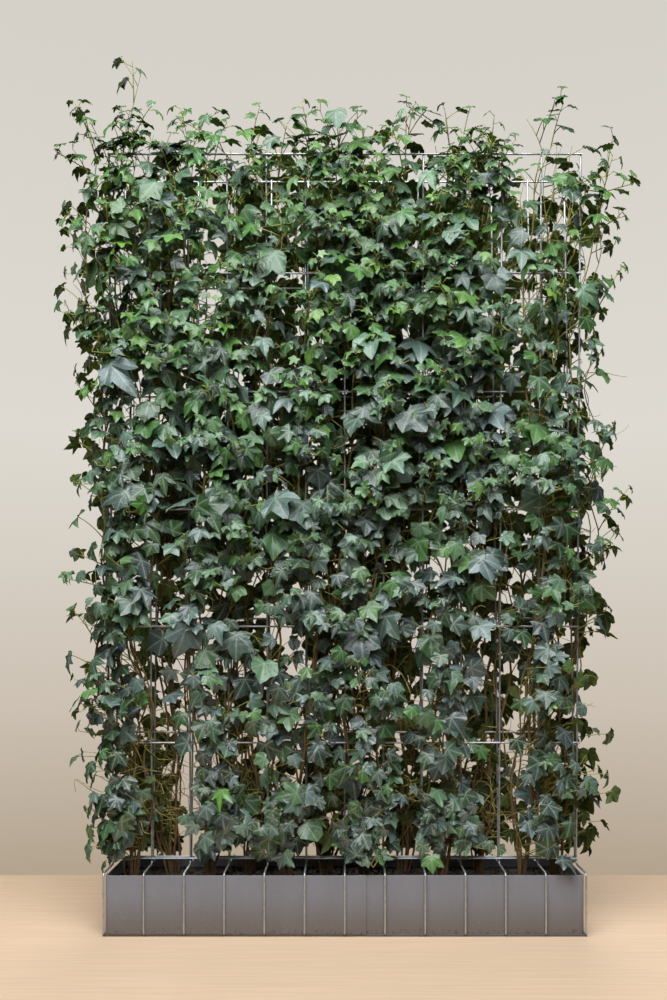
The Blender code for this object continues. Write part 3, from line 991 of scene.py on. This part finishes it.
class IvyLeafSettings(bpy.types.PropertyGroup):
    """The form of a leaf, as shares of its middle lobe's length, and its colours."""
    side_lobe: number_property("Side lobe", "Length of the side lobes", 0.82, min=0.3)
    base_lobe: number_property("Base lobe", "Length of the lobes beside the stalk", 0.54, min=0.2)
    notch: number_property("Notch", "Depth of the notches between the lobes, from the stalk", 0.62, min=0.2)
    thickness: length_property("Thickness", "Thickness of a leaf in the middle", 0.0005, 0.0001)
    fold: number_property("Fold", "How far each lobe is folded along its vein", 0.30)
    cup: number_property("Cup", "How far the leaf's edge bends down", 0.20)
    young: colour_property("Young leaf", "Upper skin of a leaf that has just opened", "608530")
    grown: colour_property("Grown leaf", "Upper skin of a half-grown leaf", "467929")
    old: colour_property("Old leaf", "Upper skin of an old leaf", "385434")
    # grey-blue of some old leaves: partly a wax bloom, partly painted sheen of the cool light
    bloom: colour_property("Bloom", "Grey-blue wax bloom on some old leaves", "536464")
    vein: colour_property("Vein", "Veins of the upper skin", "abb8a4")
    under_young: colour_property("Young underside", "Lower skin of a young leaf", "70933a")
    under_old: colour_property("Old underside", "Lower skin of an old leaf", "4c5c27")
    under_vein: colour_property("Underside vein", "Veins of the lower skin", "8b9762")


LOBE_TURNS = np.radians((-112, -54, 0, 54, 112))
NOTCH_TURNS = np.radians((-178, -82, -27, 27, 82))
NOTCH_SHARES = np.array((0.16, 0.80, 1.0, 1.0, 0.80))
SHOULDERS = ((0.36, 0.085), (0.70, 0.060))      # places along a lobe, and how far its sides stand out there
LOBES = len(LOBE_TURNS)
DECIMETRES = 10


def leaf_layout():
    """Triangles of one leaf, each with its lobe and skin. Both skins are cut along the same lines, so that
    they stay apart. Points run: the upper skin's inner points, the lower skin's, then the shared outline."""
    veins = len(SHOULDERS)
    inner = 1 + LOBES * veins
    per_lobe = 2 * veins + 1
    faces = []
    for lobe in range(LOBES):
        vein = [0] + [1 + lobe * veins + step for step in range(veins)]
        outline = 2 * inner + LOBES + lobe * per_lobe
        tip = outline + veins
        left = [2 * inner + lobe] + [outline + step for step in range(veins)] + [tip]
        right = [2 * inner + (lobe + 1) % LOBES] + [tip + 1 + step for step in range(veins)] + [tip]
        for lower in (False, True):
            spine = [point + inner if lower else point for point in vein] + [tip]
            for edge, turned in ((left, lower), (right, not lower)):
                cut = [(spine[veins], tip, edge[veins])]
                for step in range(veins):
                    cut.append((spine[step], spine[step + 1], edge[step + 1]))
                    cut.append((spine[step], edge[step + 1], edge[step]))
                faces += [(face[::-1] if turned else face, lobe, lower) for face in cut]
    return inner, faces


def towards(turns):
    """Flat directions at turns from the middle lobe."""
    return np.stack([np.sin(turns), np.cos(turns)], -1)


def leaf_outlines(draw, count, age, settings):
    """Flat points (leaf, point, xy) of leaves whose middle lobe is 1 long, and their lobes' directions.
    Old leaves are cut less deeply."""
    lengths = np.array((settings.base_lobe, settings.side_lobe, 1.0, settings.side_lobe, settings.base_lobe))
    lengths = lengths * draw.normal(1, 0.07, (count, LOBES))
    lengths[:, (0, 4)] *= draw.uniform(0.7, 1.1, (count, 1))
    turns = LOBE_TURNS + draw.normal(0, 0.06, (count, LOBES))
    notch = settings.notch * NOTCH_SHARES * draw.normal(1, 0.11, (count, 1))
    notch = notch * draw.normal(1, 0.05, (count, LOBES)) * (0.93 + 0.10 * age[:, None])
    tips = lengths[..., None] * towards(turns)
    notches = notch[..., None] * towards(NOTCH_TURNS)
    fullness = draw.uniform(0.4, 1.25, (count, 1))
    inner = [np.zeros((count, 2))]
    outline = [notches]
    for lobe in range(LOBES):
        inner += [tips[:, lobe] * (along + 0.04) for along, _ in SHOULDERS]
        sides = []
        for place, sign in ((lobe, 1), ((lobe + 1) % LOBES, -1)):
            from_notch = tips[:, lobe] - notches[:, place]
            outward = np.stack([-from_notch[:, 1], from_notch[:, 0]], -1) * sign
            full = fullness * (2.0 if place == 0 else 1.0)
            sides.append([notches[:, place] + from_notch * along + outward * bulge * full
                          for along, bulge in SHOULDERS])
        outline.append(np.stack(sides[0] + [tips[:, lobe]] + sides[1], axis=1))
    inner = np.stack(inner, axis=1)
    return np.concatenate([inner, inner] + outline, axis=1), turns


def leaf_relief(draw, flat, turns, inner, settings):
    """Height above the flat: each lobe folded up along its vein, the whole leaf cupped, arched and twisted,
    with an uneven edge."""
    count = len(flat)
    reach = np.linalg.norm(flat, axis=2)
    angle = np.arctan2(flat[..., 0], flat[..., 1])
    off_vein = np.min(np.abs(np.angle(np.exp(1j * (angle[..., None] - turns[:, None])))), axis=2)
    fold = settings.fold * draw.uniform(0.2, 1.5, (count, 1))
    cup = settings.cup * draw.normal(1.0, 0.9, (count, 1))
    arch = draw.uniform(-0.05, 0.32, (count, 1))
    twist = draw.normal(0, 0.16, (count, 1))
    relief = fold * reach * np.sin(np.minimum(off_vein, 1.3)) - cup * reach ** 2
    relief += twist * flat[..., 0] * flat[..., 1] - arch * np.clip(flat[..., 1], 0, None) ** 2
    relief[:, 2 * inner:] += draw.normal(0, 0.028, (count, flat.shape[1] - 2 * inner))
    return relief


def shape_leaves(plant, settings):
    """All the leaves of a plant as points, triangles, skin numbers, vein coordinates and points per leaf."""
    count = len(plant["width"])
    inner, faces = leaf_layout()
    flat, turns = leaf_outlines(plant["draw"], count, plant["age"], settings)
    relief = leaf_relief(plant["draw"], flat, turns, inner, settings)
    length = plant["width"] / (2 * settings.side_lobe * math.sin(LOBE_TURNS[3]))
    local = np.concatenate([flat, relief[..., None]], axis=2) * length[:, None, None]
    local[:, inner:2 * inner, 2] -= settings.thickness
    beside = np.cross(plant["tip"], plant["facing"])
    axes = np.stack([beside, plant["tip"], plant["facing"]], axis=1)
    points = np.einsum("nij,njk->nik", local, axes) + plant["base"][:, None]
    corners = np.array([face for face, _, _ in faces])
    triangles = (corners[None] + np.arange(count)[:, None, None] * flat.shape[1]).reshape(-1, 3)
    slots = np.tile([int(lower) for _, _, lower in faces], count)
    # distances from the stalk along each lobe's vein, and from the vein
    at = flat[:, corners] * length[:, None, None, None]
    turn = turns[:, [lobe for _, lobe, _ in faces]][:, :, None]
    along = at[..., 0] * np.sin(turn) + at[..., 1] * np.cos(turn)
    aside = at[..., 0] * np.cos(turn) - at[..., 1] * np.sin(turn)
    veins = np.stack([along, aside], -1).reshape(-1, 2) * DECIMETRES
    return points.reshape(-1, 3), triangles, slots, veins, flat.shape[1]


class IVY_OT_leaves(bpy.types.Operator):
    """Makes each plant's leaves: thin, lobed, veined shells on their stalks"""
    bl_idname = "ivy.leaves"
    bl_label = "Leaves"

    def execute(self, context):
        settings = context.scene.ivy_leaf
        upper = leaf_skin("waxy_upper_leaf_skin", (settings.young, settings.grown, settings.old),
                          settings.bloom, settings.vein, 0.31, (0.28, 0.07))
        middle = (Vector(settings.under_young) + Vector(settings.under_old)) / 2
        lower = leaf_skin("matt_lower_leaf_skin", (settings.under_young, middle, settings.under_old),
                          settings.under_old, settings.under_vein, 0.62, (0.40, 0.16))
        for number in PLANTS:
            plant = grown(number)
            points, triangles, slots, veins, each = shape_leaves(plant, settings)
            piece = build_mesh(f"ivy_leaves_{number:02d}", points, [triangles], [upper, lower], slots)
            layer = piece.data.uv_layers.new(name="veins")
            layer.data.foreach_set("uv", veins.astype(np.float32).ravel())
            for name in ("age", "tone"):
                set_attribute(piece, name, np.repeat(plant[name], each))
            piece.data.set_sharp_from_angle(angle=math.radians(80))
            finish_piece(piece, f"foliage_{number:02d}")
        return {"FINISHED"}


# Stage

class IvyStageSettings(bpy.types.PropertyGroup):
    """Studio, light and camera."""
    eye: FloatVectorProperty(
        name="Eye", description="Where the camera stands", default=(0.0, -2.3028, 0.738),
        size=3, subtype="TRANSLATION", unit="LENGTH")
    lens: number_property("Lens", "Focal length in millimetres", 31.88, min=1.0)
    shift: FloatVectorProperty(
        name="Shift", description="Sideways and upward shift of the view", default=(-0.0113, 0.140), size=2)
    table: FloatVectorProperty(
        name="Table", description="Half length, front edge and back edge of the table top",
        default=(1.9, -1.1, 0.478), size=3, unit="LENGTH")
    key: number_property("Overhead light", "Power of the soft light above, in watts", 238.0, min=0.0)
    fill: number_property("Front light", "Power of the soft light in front, in watts", 9.0, min=0.0)
    birch: colour_property("Table colour", "Colour of the table top", "d6ba9b")


TABLE_HEIGHTS = (-0.04, -0.0002)        # bottom and top, which is just clear of the wires
LIT_WALLS, SEEN_WALLS = 0.10, 1.0       # strength of the walls as a light and to the camera
BACKDROP = ((0.06, "b3a38e"), (0.24, "cdc2b4"), (0.52, "dedad1"), (0.90, "d4d0c7"))


class IVY_OT_stage(bpy.types.Operator):
    """Sets the table, the backdrop, the soft lights and the camera"""
    bl_idname = "ivy.stage"
    bl_label = "Studio"

    def execute(self, context):
        settings = context.scene.ivy_stage
        self.lay_table(settings)
        context.scene.world = self.paint_backdrop()
        # name, place, aim, size, power and tint
        for light in (
            ("overhead_soft_light", (-0.3, -1.75, 3.6), (0.0, 0.0, 1.1), (3.6, 2.4), settings.key, "f6f9ff"),
            ("front_soft_light", (-0.9, -3.9, 2.6), (0.0, 0.0, 1.0), (2.6, 2.2), settings.fill, "fff6ea"),
            ("back_soft_light", (0.6, 3.4, 2.8), (0.0, 0.0, 1.0), (2.8, 2.0), settings.fill * 9, "fff8ee"),
        ):
            self.hang_light(*light)
        camera = add_object("camera", bpy.data.cameras.new("camera"))
        camera.location = settings.eye
        camera.rotation_euler = (math.radians(90), 0, 0)
        camera.data.lens = settings.lens
        camera.data.shift_x, camera.data.shift_y = settings.shift
        camera.data.clip_end = 100
        context.scene.camera = camera
        context.scene.view_settings.view_transform = "Standard"
        return {"FINISHED"}

    def lay_table(self, settings):
        """A plain pale table top whose upper face lies just under the ground."""
        half, front, back = settings.table
        bottom, top = TABLE_HEIGHTS
        shape = bmesh.new()
        bmesh.ops.create_cube(shape, size=1.0)
        for vert in shape.verts:
            x, y, z = vert.co
            vert.co = (x * 2 * half, front if y < 0 else back, bottom if z < 0 else top)
        mesh = bpy.data.meshes.new("table_top")
        shape.to_mesh(mesh)
        shape.free()
        mesh.materials.append(pale_table(settings.birch))
        add_object("table_top", mesh)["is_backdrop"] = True

    def paint_backdrop(self):
        """The studio's pale walls: warmer and darker low down, palest at mid height; the darker, warmer low
        end is painted shade.
        """
        world = bpy.data.worlds.new("studio_walls")
        world.use_nodes = True
        tree = world.node_tree
        tree.nodes.clear()
        way = add_node(tree, "ShaderNodeTexCoord").outputs["Generated"]
        share = remap(tree, upper_part(tree, way), (-0.3, 0.7), WHOLE)
        colour = colour_stops(tree, share, [(place, linear(code)) for place, code in BACKDROP])
        seen = add_node(tree, "ShaderNodeLightPath").outputs["Is Camera Ray"]
        strength = remap(tree, seen, WHOLE, (LIT_WALLS, SEEN_WALLS))
        light = add_node(tree, "ShaderNodeBackground", {"Color": colour, "Strength": strength})
        add_node(tree, "ShaderNodeOutputWorld", {"Surface": light.outputs[0]})
        return world

    def hang_light(self, name, place, aim, size, power, tint):
        """A soft rectangular light, unseen itself, turned to its aim."""
        data = bpy.data.lights.new(name, "AREA")
        data.shape = "RECTANGLE"
        data.size, data.size_y = size
        data.energy = power
        data.color = linear(tint)[:3]
        light = add_object(name, data)
        light.location = place
        light.rotation_euler = (Vector(aim) - Vector(place)).to_track_quat("-Z", "Y").to_euler()
        light.visible_camera = False


# Panel, registration and the run

SETTINGS = {
    "ivy_mats": IvyMatSettings,
    "ivy_trough": IvyTroughSettings,
    "ivy_soil": IvySoilSettings,
    "ivy_growth": IvyGrowthSettings,
    "ivy_leaf": IvyLeafSettings,
    "ivy_stage": IvyStageSettings,
}
OPERATORS = (IVY_OT_stage, IVY_OT_wire_mats, IVY_OT_trough, IVY_OT_soil, IVY_OT_stems, IVY_OT_leaves)


class IVY_PT_screen(bpy.types.Panel):
    """The screen's pieces, with their settings"""
    bl_idname = "IVY_PT_screen"
    bl_label = "Potted ivy screen"
    bl_space_type = "VIEW_3D"
    bl_region_type = "UI"
    bl_category = "Ivy Screen"

    def draw(self, context):
        for operator in OPERATORS:
            self.layout.operator(operator.bl_idname)
        for name in SETTINGS:
            box = self.layout.box()
            settings = getattr(context.scene, name)
            for item in settings.bl_rna.properties:
                if item.identifier not in ("name", "rna_type"):
                    box.prop(settings, item.identifier)


CLASSES = (*SETTINGS.values(), *OPERATORS, IVY_PT_screen)


def register():
    """Makes the settings, operators and panel known."""
    for item in CLASSES:
        bpy.utils.register_class(item)
    for name, group in SETTINGS.items():
        setattr(bpy.types.Scene, name, PointerProperty(type=group))


def unregister():
    """Takes the settings, operators and panel away again."""
    for name in SETTINGS:
        delattr(bpy.types.Scene, name)
    for item in reversed(CLASSES):
        bpy.utils.unregister_class(item)


def main():
    """Builds every piece."""
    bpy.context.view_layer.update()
    register()
    bpy.ops.ivy.stage()
    bpy.ops.ivy.wire_mats()
    bpy.ops.ivy.trough()
    bpy.ops.ivy.soil()
    bpy.ops.ivy.stems()
    bpy.ops.ivy.leaves()


if __name__ == "__main__":
    main()
